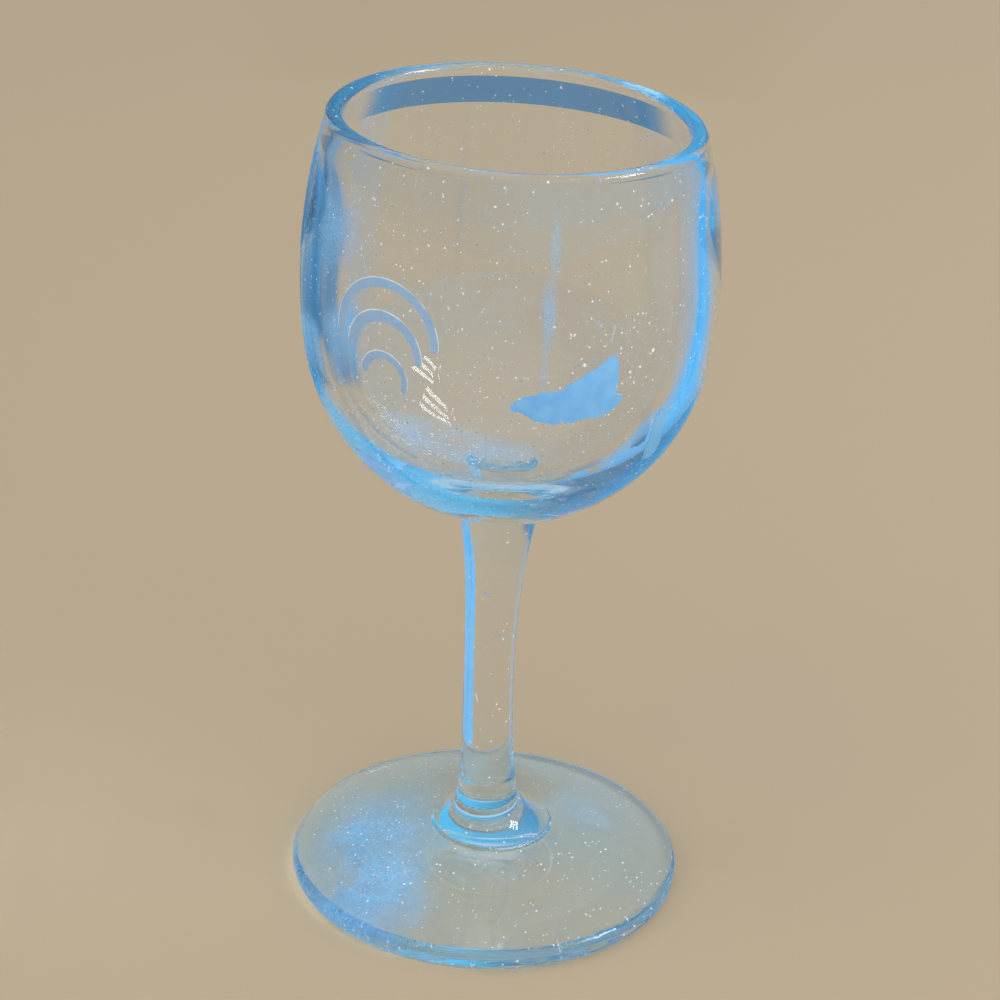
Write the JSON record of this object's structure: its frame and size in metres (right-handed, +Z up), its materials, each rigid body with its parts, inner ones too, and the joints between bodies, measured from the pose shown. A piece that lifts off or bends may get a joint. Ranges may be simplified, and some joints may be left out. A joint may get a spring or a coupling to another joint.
{
  "type": "cordial glass",
  "caption": "Small stemmed cordial glass: rounded clear bowl with a heavy base and a fire-polished lip, waisted stem, round foot, faint fired print.",
  "frame": {"origin": "centre of the foot on the surface that the glass stands on", "axes": "+Z up along the glass's axis, -Y towards the side with the print, +X to the right of it"},
  "size_m": [0.0492, 0.0492, 0.1],
  "materials": {
    "clear_glass": "fire-polished, clear with blue edges, lightly dusty and scratched",
    "frosted_print": "matt frosted enamel, fired on",
    "worn_print": "matt pale blue enamel, worn"
  },
  "bodies": {
    "root": {"bowl": "clear_glass", "stem": "clear_glass", "foot": "clear_glass", "enamel_arc_outer": "frosted_print", "enamel_arc_middle": "frosted_print", "enamel_arc_inner": "frosted_print", "enamel_patch_front": "worn_print", "enamel_patch_side": "worn_print"}
  },
  "joints": []
}
